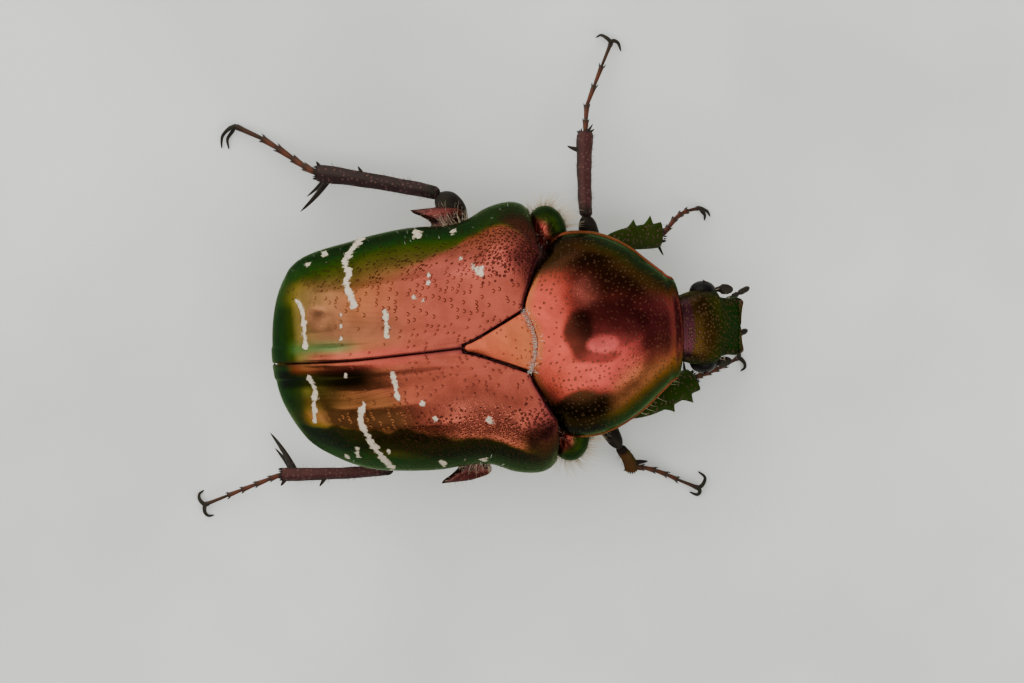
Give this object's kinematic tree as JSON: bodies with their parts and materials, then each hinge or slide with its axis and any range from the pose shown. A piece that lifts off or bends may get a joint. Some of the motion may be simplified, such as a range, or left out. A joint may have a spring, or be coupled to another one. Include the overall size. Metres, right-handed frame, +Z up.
{
  "type": "beetle",
  "caption": "Life-size rose chafer, a broad beetle with a metallic green and copper shell, standing level on six legs, for a shelf or a showcase.",
  "frame": {"origin": "middle of the outline from above, at the level the feet stand on", "axes": "+X from the tail to the head, +Y to the beetle's left, +Z up"},
  "size_m": [0.0224, 0.018, 0.009],
  "materials": {
    "copper_green_shell": "metallic green to copper red horn with fine punctures and pale marks",
    "bronze_underside": "dark coppery purple horn with pale hairs",
    "black_horn": "smooth black-brown horn"
  },
  "bodies": {
    "root": {"abdomen": "bronze_underside", "antenna_left": "black_horn", "antenna_right": "black_horn", "coxa_front_left": "bronze_underside", "coxa_front_right": "bronze_underside", "coxa_hind_left": "bronze_underside", "coxa_hind_right": "bronze_underside", "coxa_middle_left": "bronze_underside", "coxa_middle_right": "bronze_underside", "elytron_left": "copper_green_shell", "elytron_right": "copper_green_shell", "eye_left": "black_horn", "eye_right": "black_horn", "femur_front_left": "bronze_underside", "femur_front_right": "bronze_underside", "femur_hind_left": "bronze_underside", "femur_hind_right": "bronze_underside", "femur_middle_left": "bronze_underside", "femur_middle_right": "bronze_underside", "head": "copper_green_shell", "mesepimeron_left": "copper_green_shell", "mesepimeron_right": "copper_green_shell", "palp_left": "black_horn", "palp_right": "black_horn", "prothorax": "copper_green_shell", "pygidium": "copper_green_shell", "scutellum": "copper_green_shell", "tarsus_front_left": "black_horn", "tarsus_front_right": "black_horn", "tarsus_hind_left": "black_horn", "tarsus_hind_right": "black_horn", "tarsus_middle_left": "black_horn", "tarsus_middle_right": "black_horn", "thorax": "bronze_underside", "tibia_front_left": "bronze_underside", "tibia_front_right": "bronze_underside", "tibia_hind_left": "bronze_underside", "tibia_hind_right": "bronze_underside", "tibia_middle_left": "bronze_underside", "tibia_middle_right": "bronze_underside"}
  },
  "joints": []
}
